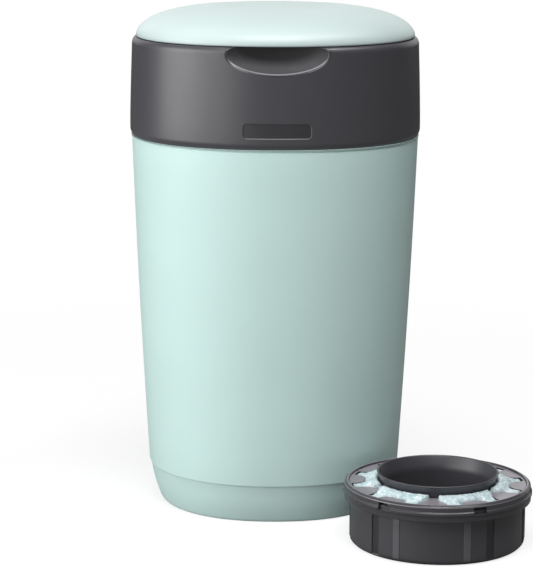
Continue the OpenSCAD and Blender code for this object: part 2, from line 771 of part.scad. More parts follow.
module film_flap(a) {
    tip = flap_hole_w / 2;
    half = flap_w / 2;
    color(mint) rotate(a) difference() {
        union() {
            translate([0, 0, flap_z - flap_t / 2]) linear_extrude(flap_t)
                polygon([[tip, -tip + flap_gap], [half + flap_gap, -half], [flap_pin_out, -half],
                    [flap_pin_out, half], [half + flap_gap, half], [tip, tip - flap_gap]]);
            for (y = [-8, 0, 8])
                translate([tip + 2, y - 0.6, flap_z - flap_t / 2 - 1.6])
                    cube([flap_pin_out - tip - 9, 1.2, 1.8]);
            translate([flap_pin_out, half, flap_z]) rotate([90, 0, 0])
                cylinder(r = flap_barrel_r, h = flap_w);
        }
        translate([flap_pin_out, half + 1, flap_z]) rotate([90, 0, 0])
            cylinder(d = flap_pin_d + 2 * bore_gap, h = flap_w + 2, $fn = 32);
        translate([flap_pin_out - flap_barrel_r - 2.4, -flap_spring_w / 2, flap_z - 4])
            cube([2 * flap_barrel_r + 6, flap_spring_w, 8]);
    }
}

module flap_pins() {
    color(steel) for (side = flap_sides) rotate(side[1])
        translate([flap_pin_out, notch_half + 5.6, flap_z]) rotate([90, 0, 0])
            cylinder(d = flap_pin_d, h = 2 * notch_half + 11.2, $fn = 32);
}

module flap_springs() {
    turns = 5;
    pitch = 1.5;
    color(steel) for (side = flap_sides) rotate(side[1])
        translate([flap_pin_out, turns * pitch / 2, flap_z]) rotate([90, 0, 0])
            coil(flap_pin_d / 2 + wire_r + 0.3, turns, pitch, 1.2);
}

// ---- Film cutter below the flap frame ----

cutter_at = 225;
cutter_out = 52;

module cutter_guard() {
    color(charcoal) rotate(cutter_at) translate([cutter_out, 0, frame_z]) difference() {
        translate([0, -guard_w / 2, -guard_h]) cube([guard_l, guard_w, guard_h]);
        translate([-1, -guard_slot / 2, -guard_h - 1]) cube([guard_l - 5, guard_slot, guard_h - 2]);
        translate([-1, 0, -guard_h]) rotate([90, 0, 90]) linear_extrude(9)
            polygon([[-guard_slot / 2 - 2.5, -1], [guard_slot / 2 + 2.5, -1],
                [guard_slot / 2, 6], [-guard_slot / 2, 6]]);
        translate([guard_l / 2 - 1, -blade_t / 2, -guard_h + 1.5])
            cube([guard_l / 2 - 2, blade_t, guard_h - 1.5]);
    }
}

module cutter_blade() {
    low = -guard_h + 1.5;
    color(steel) rotate(cutter_at) translate([cutter_out, blade_t / 2, frame_z]) rotate([90, 0, 0])
        linear_extrude(blade_t) polygon([[guard_l / 2 - 1, -0.1], [guard_l - 3, low], [guard_l - 3, -0.1]]);
}

// ---- Film cassette, drawn on its own base ----

window_step = 360 / window_count;

module tub() {
    ledge_r = tub_r - tub_wall;
    color(cassette_grey) difference() {
        union() {
            turned([[tub_inner_r, 0], [tub_r - 2.2, 0], [tub_r - 0.8, 0.8], [tub_r, 2.6], [tub_r, tub_h],
                [tub_rim_r, tub_h], [tub_rim_r, cover_top - 5], [tub_rim_r - tub_wall, cover_top - 5],
                [tub_rim_r - tub_wall, tub_h + 1.4], [ledge_r, tub_h - 0.6], [ledge_r, tub_wall],
                [tub_inner_r + tub_wall, tub_wall], [tub_inner_r + tub_wall, upstand_h],
                [tub_inner_r, upstand_h]]);
            // Raised edge strip beside each small panel
            for (i = [0 : window_count - 1]) rotate((i + 0.5) * window_step)
                mirror([0, i % 2, 0])
                    ring_sector(tub_r - 0.5, tub_r + 0.45, -9, -4.5, 3, tub_h - 2);
        }
        // Sunk channel on the other side of each small panel
        for (i = [0 : window_count - 1]) rotate((i + 0.5) * window_step)
            mirror([0, i % 2, 0])
                ring_sector(tub_r - 0.9, tub_r + 1, 7, 13, 3, tub_h - 2);
    }
}

module core() {
    base_r = core_r + core_wall;
    collar_low = cover_top - collar_down;
    color(cassette_grey) union() {
        turned([[core_r, 0], [base_r, 0], [base_r, collar_low], [base_r + 1.5, collar_low],
            [base_r + 1.5, cover_top - 1], [collar_r - 0.4, collar_top - 1.2], [collar_r, collar_top - 0.6],
            [collar_r - 0.6, collar_top], [collar_r - 1.8, collar_top - 0.4], [core_r, cover_top - 2]]);
        // Clips that hold the collar to the cover
        for (i = [0 : window_count - 1]) rotate(i * window_step)
            ring_sector(base_r + 1, base_r + 4, -3, 3,
                window_plate_z + tub_wall, window_plate_z + tub_wall + 1.4);
    }
}

// Outline of one film window: pairs of an angle, for six windows, and a radius
module film_windows() {
    inner = core_r + 9.5;
    outer = cover_r - 6.5;
    tab = outer - window_tab_l;
    side = [[-21.5, inner + 7.5], [-20, outer - 5.3], [-19.5, outer], [-15, outer + 0.6], [-10.5, outer],
        [-9.8, outer - 6.3], [-6, tab]];
    outline = concat([[0, inner], [-11, inner], [-21.5, inner]], side,
        [for (i = [len(side) - 1 : -1 : 0]) [-side[i][0], side[i][1]]], [[21.5, inner], [11, inner]]);
    for (i = [0 : window_count - 1]) rotate((i + 0.5) * window_step)
        polygon([for (p = outline) let (a = p[0] * window_step / 60) [p[1] * cos(a), p[1] * sin(a)]]);
}

module cover() {
    rim = cover_r - cover_rim_w;
    plate_inner = core_r + core_wall + 2.2;
    color(cassette_grey) difference() {
        union() {
            turned([[cover_inner_r, tub_h + 0.2], [cover_r - 0.9, tub_h + 0.2],
                [cover_r - 0.9, tub_h + 4.6], [cover_r, tub_h + 5.2],
                [cover_r, tub_h + 7.4], [cover_r - 1.2, tub_h + 8.2], [cover_r - 1.2, cover_top - 1.6],
                [rim + 0.6, cover_top - 0.3], [rim - 0.2, cover_top], [rim - 1.2, cover_top - 0.5],
                [rim - 1.6, window_plate_z + tub_wall - eps], [rim - 1.6, window_plate_z],
                [cover_inner_r, window_plate_z - 0.1]]);
            translate([0, 0, window_plate_z]) linear_extrude(tub_wall) difference() {
                circle(rim);
                circle(plate_inner);
                film_windows();
            }
        }
        // Snap windows in the skirt
        for (i = [0 : window_count - 1]) rotate((i + 0.5) * window_step)
            translate([cover_r - 3, -5.8, tub_h + 6.6]) cube([6, 11.6, 4.6]);
    }
}

module film() {
    inner = core_r + core_wall + 1.9;
    outer = tub_r - tub_wall - 0.5;
    low = tub_wall;
    top = window_plate_z - 0.4;
    pleats = 9;
    step = (top - low) / pleats;
    color(film_mint) turned(concat(
        [for (i = [0 : pleats - 1]) each [[outer - 1.4, low + i * step], [outer, low + (i + 0.5) * step]]],
        [[outer - 1.4, top], [inner + 1.4, top]],
        [for (i = [pleats - 1 : -1 : 0]) each [[inner, low + (i + 0.5) * step], [inner + 1.4, low + i * step]]]));
}

module installed() {
    translate([0, 0, cassette_z]) children();
}

module spare() {
    translate([spare_x, -spare_y, 0]) rotate(spare_turn) children();
}

bucket();
head_band();
head_deck();
deck_screws();
lid_shell();
lid_tray();
seal_holder();
lid_seal();
hinge_pin();
twist_ring();
ring_retainer();
click_pawl();
pawl_pin();
pawl_spring();
flap_frame();
frame_screws();
film_flap(-90);  // film_flap_front
film_flap(0);  // film_flap_right
film_flap(90);  // film_flap_back
film_flap(180);  // film_flap_left
flap_pins();
flap_springs();
cutter_guard();
cutter_blade();
installed() tub();  // cassette_tub
installed() core();  // cassette_core
installed() cover();  // cassette_cover
installed() film();  // cassette_film
spare() tub();  // spare_tub
spare() core();  // spare_core
spare() cover();  // spare_cover
spare() film();  // spare_film
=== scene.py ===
# %% [markdown]
# # A nappy bin, finished around its packed frame
# The real object is a tall plastic bin for used nappies: a mint bucket, a charcoal band with a finger
# scoop, a domed mint lid, and a ring-shaped film cassette. A second cassette stands beside it.
# The packed frame already holds every piece in its place with its joints. A scene could be modelled
# again from nothing, but then it would drift from the part, so this lesson only puts better skins and
# finishes round the frame, and then adds a floor, lamps and a camera.

# %% Frame
import bpy
import json
import math
import numpy as np
from mathutils import Matrix, Vector


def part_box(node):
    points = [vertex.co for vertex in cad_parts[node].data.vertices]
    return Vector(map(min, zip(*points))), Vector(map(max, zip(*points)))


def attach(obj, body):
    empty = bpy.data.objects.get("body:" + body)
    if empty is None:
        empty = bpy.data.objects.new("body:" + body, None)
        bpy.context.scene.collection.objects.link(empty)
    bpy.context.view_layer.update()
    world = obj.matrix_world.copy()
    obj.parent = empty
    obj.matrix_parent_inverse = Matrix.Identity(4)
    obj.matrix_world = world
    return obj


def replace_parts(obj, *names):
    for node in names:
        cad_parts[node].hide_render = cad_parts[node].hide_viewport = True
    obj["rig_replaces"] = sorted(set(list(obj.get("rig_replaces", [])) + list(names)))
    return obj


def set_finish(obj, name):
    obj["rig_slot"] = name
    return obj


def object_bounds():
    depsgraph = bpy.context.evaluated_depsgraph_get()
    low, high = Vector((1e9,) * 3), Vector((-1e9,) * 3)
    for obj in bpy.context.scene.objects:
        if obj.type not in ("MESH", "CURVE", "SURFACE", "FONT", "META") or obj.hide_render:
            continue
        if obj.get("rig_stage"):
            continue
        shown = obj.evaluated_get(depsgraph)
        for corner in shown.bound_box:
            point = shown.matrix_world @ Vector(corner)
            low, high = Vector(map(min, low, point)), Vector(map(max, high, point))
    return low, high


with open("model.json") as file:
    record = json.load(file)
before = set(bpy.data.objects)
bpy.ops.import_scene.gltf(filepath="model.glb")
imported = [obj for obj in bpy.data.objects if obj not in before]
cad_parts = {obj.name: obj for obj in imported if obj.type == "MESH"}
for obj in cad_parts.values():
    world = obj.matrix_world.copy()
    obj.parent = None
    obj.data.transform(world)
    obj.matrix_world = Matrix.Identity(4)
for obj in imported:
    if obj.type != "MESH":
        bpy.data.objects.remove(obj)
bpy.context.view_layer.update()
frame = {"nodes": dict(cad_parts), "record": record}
MM = 0.001

# %% [markdown]
# ## Levels taken from the frame
# A skin has to meet its neighbours to a fraction of a millimetre. The heights could be typed in a
# second time; reading them from the packed boxes keeps skins and solids together instead. Everything
# below is worked out in millimetres, and turned into Blender's metres where a mesh is made.

# %% Levels
def box_mm(node):
    """Lowest and highest corner of a packed piece."""
    low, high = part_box(node)
    return np.array(low) / MM, np.array(high) / MM

bucket_top = box_mm("bucket")[1][2]
rim_z = box_mm("head_band")[1][2]
spare_low, spare_high = box_mm("spare_tub")
spare_at = np.array([(spare_low[0] + spare_high[0]) / 2, (spare_low[1] + spare_high[1]) / 2, 0.0])
installed_at = np.array([0.0, 0.0, box_mm("cassette_tub")[0][2]])
print("bucket top", bucket_top, "rim", rim_z)
print("spare cassette at", spare_at, "installed cassette at", installed_at)

# %% [markdown]
# ## Rounded-square plan
# Seen from above, bucket, band and lid are neither round nor square. The outline could be four arcs
# and four lines, which show a seam where they meet. One power curve, a circle pulled towards a square,
# has no seam, and the same curve at every level lets the three pieces meet without a step.

# %% Plan outline
PLAN = 2.2

def reach(a):
    """How far the outline lies from the axis in direction a, for a half width of 1."""
    return (np.abs(np.cos(a)) ** PLAN + np.abs(np.sin(a)) ** PLAN) ** (-1 / PLAN)

print("corner reach", round(float(reach(math.pi / 4)), 3), "times the half width")

# %% [markdown]
# ## Soft corners
# Moulded plastic has no sharp corner. A Bevel modifier could round the edges, but it finds them only
# by angle. Here each point of a section may carry a rounding length as its third number, and its
# corner becomes a short curve between its two neighbours, so every edge gets its own softness.

# %% Section rounding
MOST_OF_SIDE = 0.48

def soften(points, steps=4, closed=False):
    """Rounds the corners of a section; a point is (half width, height, rounding)."""
    out = []
    count = len(points)
    for i, p in enumerate(points):
        cut = p[2] if len(p) > 2 else 0.0
        here = np.array(p[:2], float)
        if cut == 0.0 or (not closed and i in (0, count - 1)):
            out.append(here)
            continue
        before = np.array(points[i - 1][:2], float) - here
        after = np.array(points[(i + 1) % count][:2], float) - here
        reach_a = min(cut, np.linalg.norm(before) * MOST_OF_SIDE)
        reach_b = min(cut, np.linalg.norm(after) * MOST_OF_SIDE)
        a = here + before / np.linalg.norm(before) * reach_a
        b = here + after / np.linalg.norm(after) * reach_b
        for k in range(steps + 1):
            t = k / steps
            out.append((1 - t) ** 2 * a + 2 * t * (1 - t) * here + t * t * b)
    return np.array(out)

def subdivide(points, step):
    """Adds points so that no side of the section is longer than step."""
    out = [points[0]]
    for a, b in zip(points[:-1], points[1:]):
        n = max(1, int(math.ceil(np.linalg.norm(b - a) / step)))
        out += [a + (b - a) * k / n for k in range(1, n + 1)]
    return np.array(out)

corner = soften([(0, 0), (10, 0, 2), (10, 10)])
print("a corner of 3 points becomes", len(corner), "points")

# %% [markdown]
# ## Grids to meshes
# Every skin here is a grid: rows along a section, columns round the plan. Blender's Screw modifier
# could sweep simple sections, but a grid of points can also be pressed and pulled in places before
# it becomes a mesh. It closes into a solid by joining its last row to its first, or by a cap at each
# end. Each finished object is told which body it rides on and which packed pieces it replaces.

# %% Grid to object
SLOT_OF = {p["node"]: p["material_slot"] for p in frame["record"]["subparts"]}

def smooth(mesh, sharp=32):
    """Shades a mesh smooth and keeps edges above an angle sharp."""
    mesh.shade_smooth()
    mesh.set_sharp_from_angle(angle=math.radians(sharp))

def dress(obj, body, stands_for):
    """Names the body that carries an object and the packed pieces it replaces."""
    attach(obj, body)
    for node in stands_for:
        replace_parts(obj, node)
    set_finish(obj, SLOT_OF[stands_for[0]])

def linked(name, mesh):
    """A new object in the scene, for a mesh, a lamp or the camera."""
    obj = bpy.data.objects.new(name, mesh)
    bpy.context.scene.collection.objects.link(obj)
    return obj

def grid_object(name, grid, body, stands_for, closed_rows=False, sharp=32):
    """Makes a closed mesh of a grid of points in mm."""
    rows, cols = grid.shape[:2]
    verts = grid.reshape(-1, 3) * MM
    r = np.arange(rows if closed_rows else rows - 1)
    rr, cc = np.meshgrid(r, np.arange(cols), indexing="ij")
    r2, c2 = (rr + 1) % rows, (cc + 1) % cols
    quads = np.stack([rr * cols + cc, rr * cols + c2, r2 * cols + c2, r2 * cols + cc], -1)
    faces = quads.reshape(-1, 4).tolist()
    if not closed_rows:
        faces.append(list(range(cols))[::-1])
        faces.append([(rows - 1) * cols + k for k in range(cols)])
    mesh = bpy.data.meshes.new(name)
    mesh.from_pydata(verts.tolist(), [], faces)
    mesh.update()
    obj = linked(name, mesh)
    smooth(mesh, sharp)
    dress(obj, body, stands_for)
    print(name, len(mesh.vertices), "vertices")
    return obj

print("material slots:", sorted(set(SLOT_OF.values())))

# %% [markdown]
# ## Cutting
# Slots, windows and the hinge's trough are cut out of moulded pieces, as a mould's inserts leave them
# out. They could be modelled face by face; a Boolean is shorter and stays exact. The Manifold solver
# is chosen because it is fast and always gives a closed result, if both meshes are closed and their
# faces look outwards.

# %% Boolean cuts
def outwards(obj):
    """Turns every face of a closed mesh outwards."""
    bpy.context.view_layer.objects.active = obj
    for other in bpy.context.selected_objects:
        other.select_set(False)
    obj.select_set(True)
    bpy.ops.object.mode_set(mode="EDIT")
    bpy.ops.mesh.select_all(action="SELECT")
    bpy.ops.mesh.normals_make_consistent(inside=False)
    bpy.ops.object.mode_set(mode="OBJECT")

def carve(obj, cutters, sharp=32):
    """Takes the cutters out of an object, and deletes them."""
    for cutter in cutters:
        mod = obj.modifiers.new("cut", "BOOLEAN")
        mod.operation, mod.solver, mod.object = "DIFFERENCE", "MANIFOLD", cutter
    evaluated = obj.evaluated_get(bpy.context.evaluated_depsgraph_get())
    mesh = bpy.data.meshes.new_from_object(evaluated)
    obj.modifiers.clear()
    obj.data = mesh
    smooth(mesh, sharp)
    for cutter in cutters:
        bpy.data.objects.remove(cutter)
    print(obj.name, "carved:", len(mesh.polygons), "faces")

# %% Cutter shapes
def between_loops(name, low_loop, high_loop):
    """A closed solid between two loops with the same number of points."""
    n = len(low_loop)
    faces = [list(range(n))[::-1], [n + k for k in range(n)]]
    faces += [[k, (k + 1) % n, n + (k + 1) % n, n + k] for k in range(n)]
    mesh = bpy.data.meshes.new(name)
    mesh.from_pydata((np.array(low_loop + high_loop) * MM).tolist(), [], faces)
    mesh.update()
    obj = linked(name, mesh)
    outwards(obj)
    return obj

def prism(name, outline, low, high):
    return between_loops(name, [(x, y, low) for x, y in outline],
                         [(x, y, high) for x, y in outline])

def rod_x(name, y, z, radius, x0, x1, sides=64):
    turns = [2 * math.pi * k / sides for k in range(sides)]
    ring = [(radius * math.cos(a), radius * math.sin(a)) for a in turns]
    return between_loops(name, [(x0, y + a, z + b) for a, b in ring],
                         [(x1, y + a, z + b) for a, b in ring])

print("cutters: prism along Z, rod along X")

# %% [markdown]
# ## Bucket
# The real bucket is one tall injection moulding in satin polypropylene: a taper that bows out by a
# millimetre, a plinth that curves in to a narrow foot, and a groove and a thin lip at the mouth. It
# could be a cube with Subdivision Surface, but then its wall would only be about right. A loft of its
# section is exact and cheap, because only the section's height and half width change.

# %% Bucket section
foot, plinth, plinth_h, mouth, wall, bow = 100.0, 109.6, 34.0, 123.5, 2.6, 1.0
groove = 0.55
lip_low = bucket_top - 1.5
wall_top = lip_low - 0.9
knee = plinth_h * 0.42

def bowed(low, high, parts=12):
    """Points of a wall that bows out a little between two ends."""
    share = [k / parts for k in range(1, parts)]
    return [(low[0] + (high[0] - low[0]) * t + bow * math.sin(math.pi * t),
             low[1] + (high[1] - low[1]) * t) for t in share]

bucket_base = [(foot - 4, 0), (foot - 1.6, 0, 1.2), (foot, 1.6, 1.5), (foot + 4.8, knee, 8),
               (plinth - 0.8, plinth_h - 0.6, 0.3), (plinth, plinth_h, 0.5)]
bucket_lip = [(mouth - 0.3, wall_top, 0.3), (mouth - groove, wall_top + 0.3, 0.2),
              (mouth - groove, lip_low, 0.2), (mouth + 0.3, lip_low + 0.4, 0.3),
              (mouth + 0.3, bucket_top, 0.3), (mouth - wall, bucket_top, 0.5)]
bucket_floor = [(plinth - wall, plinth_h + 2, 3), (foot + 2.6, knee + 1.5, 6),
                (foot - 2.2, 6, 2), (foot - 5.7, 3, 2), (foot - 12, 3)]
bucket_section = soften(
    bucket_base + bowed((plinth, plinth_h), (mouth - 0.3, wall_top)) + bucket_lip
    + bowed((mouth - wall, bucket_top), (plinth - wall, plinth_h + 2)) + bucket_floor)
print("bucket section:", len(bucket_section), "points")

# %% Bucket skin
angles = np.linspace(0, 2 * math.pi, 288, endpoint=False)

def loft(section, cols=angles):
    """Sweeps a section round the rounded-square plan."""
    shape = reach(cols)
    half, z = section[:, 0][:, None], section[:, 1][:, None]
    return np.stack([half * shape * np.cos(cols), half * shape * np.sin(cols),
                     z + 0 * shape * half], -1)

grid_object("bucket_skin", loft(bucket_section), "bucket", ["bucket"])

# %% [markdown]
# ## Head band
# The band is a separate charcoal moulding that sits on the bucket's mouth, with a spigot that goes
# inside it. Its lower edge is bevelled and its shoulder rolls over to a narrow rim for the lid. Like
# the bucket it could be subdivided from a few faces, but a lofted section matches its solid.

# %% Band section
band, taper, bevel_in, bevel_h = 124.75, 1.9, 1.9, 4.0
shoulder, rim_half, land, shoulder_h = band - 1.9, 119.0, 4.5, 5.5
shoulder_z = rim_z - shoulder_h
band_wall, ledge_in, spigot, spigot_h = 2.6, 106.3, 118.4, 14
base = bucket_top

outer = [(band - bevel_in, base, 0.5), (band, base + bevel_h, 1.5), (band, base + bevel_h + 12, 10),
         (band - taper * 0.4, base + 45.7, 12), (shoulder, shoulder_z, 1.5)]
outer += [(rim_half + (shoulder - rim_half) * math.cos(a), shoulder_z + shoulder_h * math.sin(a), 0.8)
          for a in np.radians([15, 30, 45, 60, 75])]
outer += [(rim_half, rim_z, 0.3)]
inner = [(rim_half - land, rim_z, 0.4), (rim_half - land, rim_z - 3, 0.3),
         (shoulder - 3.6, rim_z - 4.5, 0.5), (shoulder - band_wall, shoulder_z - 1, 2),
         (band - band_wall, base + bevel_h + 12, 2), (band - band_wall, base + 3, 0.5),
         (ledge_in, base + 3, 0.5), (ledge_in, base, 0.2), (spigot, base, 0.2),
         (spigot, base - spigot_h, 0.3), (118.9, base - spigot_h, 0.3), (119.8, base - 12, 0.5),
         (120.4, base, 0.2)]
print("band from", base, "to", rim_z, "mm, half width", band)

# %% [markdown]
# ## Finger scoop and plate recess
# The scoop is a shallow dish under the lid's edge, and below it is a recess for a plate. Both could
# be Boolean cuts, but a Boolean leaves a hard edge and long thin faces on a curved wall. Here each
# point of a fine grid moves back until it meets the dish, with a soft maximum, so the edge is the
# true curve where the dish meets the face, and it stays slightly round.

# %% Dish and recess
scoop_half, scoop_drop, scoop_d, scoop_out = 42.2, 16.8, 16.5, 4.0
face_there = shoulder * (1 - (scoop_half / shoulder) ** PLAN) ** (1 / PLAN)
scoop_a = scoop_half / math.sqrt(1 - ((shoulder + scoop_out - face_there) / scoop_d) ** 2)
scoop_b = scoop_drop / math.sqrt(1 - (scoop_out / scoop_d) ** 2)
scoop_y, scoop_z = -(shoulder + scoop_out), rim_z - 5.3
plate_z, plate_w, plate_h, plate_r = base + 15.5, 55.5, 12.0, 3.0
plate_deep, plate_soft = 0.5, 0.9
FRONT_Y = -60

def soft_max(a, b, k):
    """The larger of a and b, with the corner between them rounded by k."""
    return 0.5 * (a + b + np.sqrt((a - b) ** 2 + k * k))

def press(grid, thick):
    """Presses dish and recess; thick is 0 outside and grows to the wall inside."""
    x, y, z = grid[..., 0], grid[..., 1], grid[..., 2]
    a, b, d = scoop_a + thick, scoop_b + thick, scoop_d + thick
    inside = 1 - (x / a) ** 2 - ((z - scoop_z) / b) ** 2
    dish = scoop_y + d * np.sqrt(np.clip(inside, 0, None))
    in_dish = (y < FRONT_Y) & (inside > 0) & (z > base + 20)
    y_new = np.where(in_dish, soft_max(y, dish, 0.5), y)
    qx = np.abs(x) - (plate_w / 2 - plate_r)
    qz = np.abs(z - plate_z) - (plate_h / 2 - plate_r)
    edge = (np.hypot(np.maximum(qx, 0), np.maximum(qz, 0))
            + np.minimum(np.maximum(qx, qz), 0) - plate_r)
    sink = plate_deep * np.clip(0.5 - edge / plate_soft, 0, 1) * (thick == 0) * (y < FRONT_Y)
    out = grid.copy()
    out[..., 1] = y_new + sink
    return out

print("dish half width", round(scoop_a, 1), "half height", round(scoop_b, 1), "mm")

# %% [markdown]
# ## Where the band's grid is fine
# Dish and recess are small against the band, and a grid coarse enough for the rest would leave
# steps at their edges. It could be fine all round, which would look the same and weigh several
# times as much. So its columns are close only in front, and its rows only at those two heights.

# %% Band skin
FINE, COARSE, FRONT_SPAN = 0.3, 3.0, 50.0
front_x = np.arange(-FRONT_SPAN, FRONT_SPAN + 0.01, FINE)
front = -math.pi / 2 + front_x / band
behind = np.linspace(front[-1], front[0] + 2 * math.pi, 300)[1:-1]
band_cols = np.concatenate([front, behind])
outer_line = soften(outer)
fine = []
for p, q in zip(outer_line[:-1], outer_line[1:]):
    low, high = sorted((p[1], q[1]))
    pressed = high > rim_z - 25 or (high > plate_z - 8 and low < plate_z + 8)
    n = max(1, int(math.ceil(np.linalg.norm(q - p) / (FINE if pressed else COARSE))))
    fine += [p + (q - p) * k / n for k in range(n)]
outer_line = np.array(fine + [outer_line[-1]])
land_line = np.array([[rim_half - land * t, rim_z] for t in (0.15, 0.4, 0.7, 0.92)])
inner_line = soften(inner)
behind_dish = 24  # the first points of the inner line, from the rim down, follow the dish
inner_line = np.concatenate([subdivide(inner_line[:behind_dish], 1.0), inner_line[behind_dish:]])
thick = np.concatenate([np.zeros(len(outer_line)), [0.4, 1.1, 1.9, 2.4],
                        np.full(len(inner_line), band_wall)])
section = np.concatenate([outer_line, land_line, inner_line])
band_grid = press(loft(section, band_cols), thick[:, None])
head_skin = grid_object("head_band_skin", band_grid, "head", ["head_band"], closed_rows=True)
outwards(head_skin)

# %% [markdown]
# ## Trough
# The lid turns on a pin at the back of the rim, and the band leaves a trough there for its knuckles.
# The trough could be part of the band's grid, but its square ends would need columns of their own.
# A rod along the pin and a box behind it cut the same shape in one step.

# %% Trough behind the hinge
hinge_y, hinge_z, trough_half, trough_r = 115.0, rim_z - 1.5, 43.5, 8.4
trough_plan = [(-trough_half, hinge_y), (trough_half, hinge_y),
               (trough_half, hinge_y + 16), (-trough_half, hinge_y + 16)]
carve(head_skin, [rod_x("cut_rod", hinge_y, hinge_z, trough_r, -trough_half, trough_half),
                  prism("cut_box", trough_plan, hinge_z - 4.4, hinge_z + 8)])

# %% [markdown]
# ## Lid
# The lid is a thin mint dome whose edge lines up with the band's rim, a small gap above it. Its
# outline is steep at the edge and nearly flat on top. A scaled sphere would be too round for that,
# so the profile comes from sine and cosine with powers of their own. Last, a rod clears the hinge.

# %% Lid skin
lid_gap, lid_edge, crown, lid_wall = 0.6, 1.0, 26.3, 2.4

def lid_profile(t):
    out = (rim_half + 0.3) * math.cos(math.pi / 2 * t) ** 0.55
    rise = (crown - lid_gap - lid_edge) * math.sin(math.pi / 2 * t) ** 1.06
    return out, rim_z + lid_gap + lid_edge + rise

steps = [0, .01, .02, .04, .06, .09, .12, .16, .2, .24, .29, .34,
         .4, .46, .53, .6, .68, .75, .82, .88, .93, .965, .985, .996]
dome = [lid_profile(t) for t in steps]
under = [(o - lid_wall * math.cos(math.radians(70 * t)), z - lid_wall)
         for t, (o, z) in zip(steps, dome) if o > 16]
lid_foot = [(rim_half - lid_wall, rim_z + lid_gap + lid_edge, 0.3),
            (rim_half - lid_wall, rim_z + lid_gap, 0.4), (rim_half, rim_z + lid_gap, 0.6)]
lid_section = soften(under[:3:-1] + lid_foot + dome)
lid_skin = grid_object("lid_skin", loft(lid_section), "lid", ["lid_shell"], sharp=40)
outwards(lid_skin)
carve(lid_skin, [rod_x("cut_hinge", hinge_y, hinge_z, 4.2, -32.8, 32.8)], sharp=40)

# %% [markdown]
# ## Film cassette
# A ring-shaped tub holds pleated film. A cover with six windows snaps over it, and a liner with a
# flared collar runs through its middle. All four are turned shapes. Blender's Screw modifier could
# turn their profiles, but a grid is swept here too, so that details can be set by angle.

# %% Turned shapes
def turned(profile, cols):
    """Sweeps a profile round a circle."""
    r, z = profile[:, 0][:, None], profile[:, 1][:, None]
    return np.stack([r * np.cos(cols) + 0 * z, r * np.sin(cols) + 0 * z, z + 0 * r * cols], -1)

def place(grid, at, turn):
    """Turns a grid about its axis and moves it to its place."""
    c, s = math.cos(turn), math.sin(turn)
    x, y = grid[..., 0] * c - grid[..., 1] * s, grid[..., 0] * s + grid[..., 1] * c
    return np.stack([x, y, grid[..., 2]], -1) + at

tub_r, tub_h, cover_top, core_r = 72.2, 37.5, 51.5, 44.0
BAYS = 6
BAY = 360 / BAYS
print("cassette:", BAYS, "bays,", 2 * tub_r, "mm across,", cover_top, "mm to its cover")

# %% [markdown]
# ## Tub
# The tub's wall has a raised rib and a sunk channel in each bay, mirrored from bay to bay. They could
# be separate strips, but they are one moulding with the wall. So their columns of the grid move in or
# out, with two columns close together at every edge to keep it crisp. Each point also keeps a number,
# 1 on a rib and -1 in a channel, which the finish reads to paint light on the ribs and shade in the
# channels.

# %% Tub grid
RIB, CHANNEL = (-9, -4.5, 0.45), (7, 13, -0.8)
EDGE = 0.24

def tub_grid():
    seat = core_r + 1.65
    profile = subdivide(soften([
        (seat, 0, 0.3), (tub_r - 3, 0, 1.5), (tub_r, 3, 1.5), (tub_r, tub_h, 0.3), (75, tub_h, 0.4),
        (75, cover_top - 5, 0.2), (73.4, cover_top - 5, 0.2), (73.4, tub_h + 1.4, 0.2),
        (tub_r - 1.6, tub_h - 0.6, 0.2), (tub_r - 1.6, 1.6, 1), (seat + 1.6, 1.6, 0.3),
        (seat + 1.6, 5, 0.2), (seat, 5, 0.2)], closed=True), 2.5)
    bays = [((i + 0.5) * BAY, -1 if i % 2 else 1) for i in range(BAYS)]
    edges = [centre + flip * side for centre, flip in bays for strip in (RIB, CHANNEL)
             for side in strip[:2]]
    degrees = sorted(set(list(np.round(np.arange(0, 360, 2.0), 3))
                         + [round(e + d, 3) for e in edges for d in (-0.35, -0.12, 0.12, 0.35)]))
    grid = turned(profile, np.radians(degrees))
    push = np.zeros(len(degrees))
    for centre, flip in bays:
        local = ((np.array(degrees) - centre + 180) % 360 - 180) * flip
        for low, high, amount in (RIB, CHANNEL):
            push += amount * np.clip(np.minimum(local - low, high - local) / EDGE + 0.5, 0, 1)
    z, r = profile[:, 1], profile[:, 0]
    zone = (np.clip((z - 2.6) / 0.6, 0, 1) * np.clip((tub_h - 1.4 - z) / 0.6, 0, 1)
            * (r > tub_r - 0.8))
    grid[..., :2] *= (1 + zone[:, None] * push[None, :] / tub_r)[..., None]
    # The second grid is 1 on a rib and -1 in a channel, for painted light and painted shade
    return grid, zone[:, None] * np.sign(push)[None, :]

print("tub: rib", RIB[2], "mm out, channel", -CHANNEL[2], "mm in")

# %% [markdown]
# ## Collar and cover
# The collar flares above the cover, and the cover's flat plate lies a little below its rim. The
# windows could be left as gaps in the grid, but their outline has tabs and round corners that no
# straight row follows, so they are cut out afterwards as prisms.

# %% Collar and cover grids
def collar_grid():
    base_r = core_r + 1.6
    profile = soften([
        (core_r, 0, 0.3), (base_r, 0, 0.3), (base_r, 40.5, 0.1), (base_r + 1.5, 40.5, 0.4),
        (base_r + 1.5, cover_top - 1, 2.5), (49.9, cover_top + 6.6, 0.6),
        (50.3, cover_top + 7.4, 0.5), (49.7, cover_top + 8, 0.5), (48.6, cover_top + 7.7, 0.5),
        (core_r, cover_top - 2, 3)], closed=True)
    return turned(profile, np.linspace(0, 2 * math.pi, 192, endpoint=False))

plate_low, plate_top = cover_top - 3.6, cover_top - 2.0

